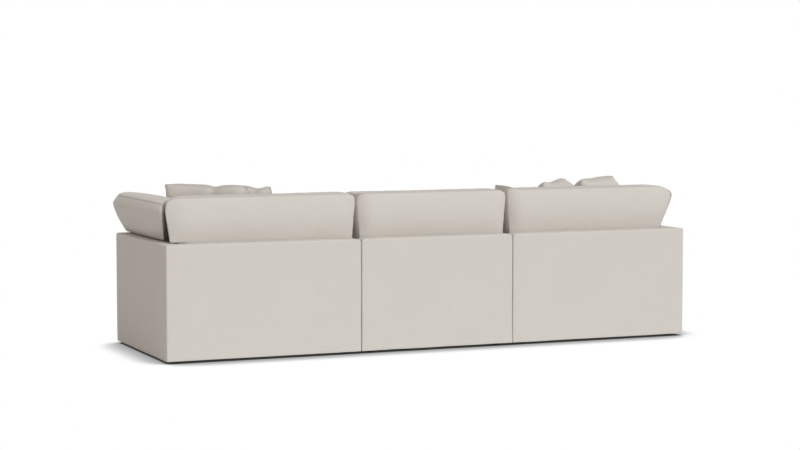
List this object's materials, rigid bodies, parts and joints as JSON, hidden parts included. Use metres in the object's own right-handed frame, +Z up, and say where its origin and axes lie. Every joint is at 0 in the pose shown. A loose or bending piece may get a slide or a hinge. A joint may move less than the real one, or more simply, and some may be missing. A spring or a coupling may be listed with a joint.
{
  "type": "sectional sofa with chaise",
  "caption": "Low linen-covered sectional sofa with block arms, a chaise at one end, loose seat, back and arm cushions and throw pillows in its corners.",
  "frame": {"origin": "on the floor, at the middle of the whole sofa's bounding box", "axes": "+X to the arm-cushion end, away from the chaise; +Y to the outer back; +Z up; the seats face -Y"},
  "size_m": [3.1892, 1.65, 0.9401],
  "materials": {
    "linen_cover": "plain-woven natural linen, matt, softly creased, topstitched seams",
    "linen_cushion": "plain-woven natural linen, matt, soft puckers at the seams",
    "linen_pillow": "plain-woven natural linen, matt, knife-edged",
    "wadding": "bonded polyester wadding",
    "dust_cloth": "thin black non-woven",
    "timber": "raw sawn hardwood",
    "spring_steel": "oiled drawn spring wire",
    "zinc_plate": "pressed steel, zinc plated",
    "black_plastic": "moulded glide, matt black"
  },
  "bodies": {
    "middle_module": {"middle_base_frame": "timber", "middle_back_frame": "timber", "middle_springs": "spring_steel", "middle_back_padding": "wadding", "middle_deck_pad": "wadding", "middle_dust_cover": "dust_cloth", "middle_slipcover": "linen_cover", "middle_foot_1": "black_plastic", "middle_foot_2": "black_plastic", "middle_foot_3": "black_plastic", "middle_foot_4": "black_plastic", "corner_rear_clip": "zinc_plate", "corner_front_clip": "zinc_plate", "chaise_rear_clip": "zinc_plate", "chaise_front_clip": "zinc_plate"},
    "corner_module": {"corner_base_frame": "timber", "corner_back_frame": "timber", "corner_springs": "spring_steel", "corner_back_padding": "wadding", "corner_deck_pad": "wadding", "corner_dust_cover": "dust_cloth", "corner_slipcover": "linen_cover", "corner_arm_frame": "timber", "corner_arm_padding": "wadding", "corner_foot_1": "black_plastic", "corner_foot_2": "black_plastic", "corner_foot_3": "black_plastic", "corner_foot_4": "black_plastic", "corner_rear_blade": "zinc_plate", "corner_front_blade": "zinc_plate"},
    "chaise_module": {"chaise_base_frame": "timber", "chaise_back_frame": "timber", "chaise_springs": "spring_steel", "chaise_back_padding": "wadding", "chaise_deck_pad": "wadding", "chaise_dust_cover": "dust_cloth", "chaise_slipcover": "linen_cover", "chaise_arm_frame": "timber", "chaise_arm_padding": "wadding", "chaise_foot_1": "black_plastic", "chaise_foot_2": "black_plastic", "chaise_foot_3": "black_plastic", "chaise_foot_4": "black_plastic", "chaise_foot_5": "black_plastic", "chaise_foot_6": "black_plastic", "chaise_rear_blade": "zinc_plate", "chaise_front_blade": "zinc_plate"},
    "corner_seat_cushion_body": {"corner_seat_cushion": "linen_cushion"},
    "middle_seat_cushion_body": {"middle_seat_cushion": "linen_cushion"},
    "chaise_seat_cushion_body": {"chaise_seat_cushion": "linen_cushion"},
    "corner_back_cushion_body": {"corner_back_cushion": "linen_cushion"},
    "middle_back_cushion_body": {"middle_back_cushion": "linen_cushion"},
    "chaise_back_cushion_body": {"chaise_back_cushion": "linen_cushion"},
    "corner_arm_cushion_body": {"corner_arm_cushion": "linen_cushion"},
    "corner_large_pillow_body": {"corner_large_pillow": "linen_pillow"},
    "corner_small_pillow_body": {"corner_small_pillow": "linen_pillow"},
    "chaise_small_pillow_body": {"chaise_small_pillow": "linen_pillow"},
    "chaise_large_pillow_body": {"chaise_large_pillow": "linen_pillow"}
  },
  "joints": [
    {"name": "corner_module_pull", "type": "slide", "parent": "middle_module", "child": "corner_module", "axis": [1, 0, 0], "range_m": [0, 0.3]},
    {"name": "chaise_module_pull", "type": "slide", "parent": "middle_module", "child": "chaise_module", "axis": [-1, 0, 0], "range_m": [0, 0.3]},
    {"name": "corner_seat_slide", "type": "slide", "parent": "corner_module", "child": "corner_seat_cushion_body", "axis": [0, -1, 0], "range_m": [0, 0.25]},
    {"name": "middle_seat_slide", "type": "slide", "parent": "middle_module", "child": "middle_seat_cushion_body", "axis": [0, -1, 0], "range_m": [0, 0.25]},
    {"name": "chaise_seat_slide", "type": "slide", "parent": "chaise_module", "child": "chaise_seat_cushion_body", "axis": [0, -1, 0], "range_m": [0, 0.25]},
    {"name": "corner_back_lift", "type": "slide", "parent": "corner_module", "child": "corner_back_cushion_body", "axis": [0, 0, 1], "range_m": [0, 0.5]},
    {"name": "middle_back_lift", "type": "slide", "parent": "middle_module", "child": "middle_back_cushion_body", "axis": [0, 0, 1], "range_m": [0, 0.5]},
    {"name": "chaise_back_lift", "type": "slide", "parent": "chaise_module", "child": "chaise_back_cushion_body", "axis": [0, 0, 1], "range_m": [0, 0.5]},
    {"name": "corner_arm_lift", "type": "slide", "parent": "corner_module", "child": "corner_arm_cushion_body", "axis": [0, 0, 1], "range_m": [0, 0.5]},
    {"name": "corner_large_pillow_lift", "type": "slide", "parent": "corner_arm_cushion_body", "child": "corner_large_pillow_body", "axis": [-0.5086, -0.4912, 0.7071], "range_m": [0, 0.35]},
    {"name": "corner_small_pillow_lift", "type": "slide", "parent": "corner_large_pillow_body", "child": "corner_small_pillow_body", "axis": [-0.5647, -0.4255, 0.7071], "range_m": [0, 0.35]},
    {"name": "chaise_large_pillow_lift", "type": "slide", "parent": "chaise_module", "child": "chaise_large_pillow_body", "axis": [0.4545, -0.5417, 0.7071], "range_m": [0, 0.35]},
    {"name": "chaise_small_pillow_lift", "type": "slide", "parent": "chaise_large_pillow_body", "child": "chaise_small_pillow_body", "axis": [0.5086, -0.4912, 0.7071], "range_m": [0, 0.35]}
  ]
}
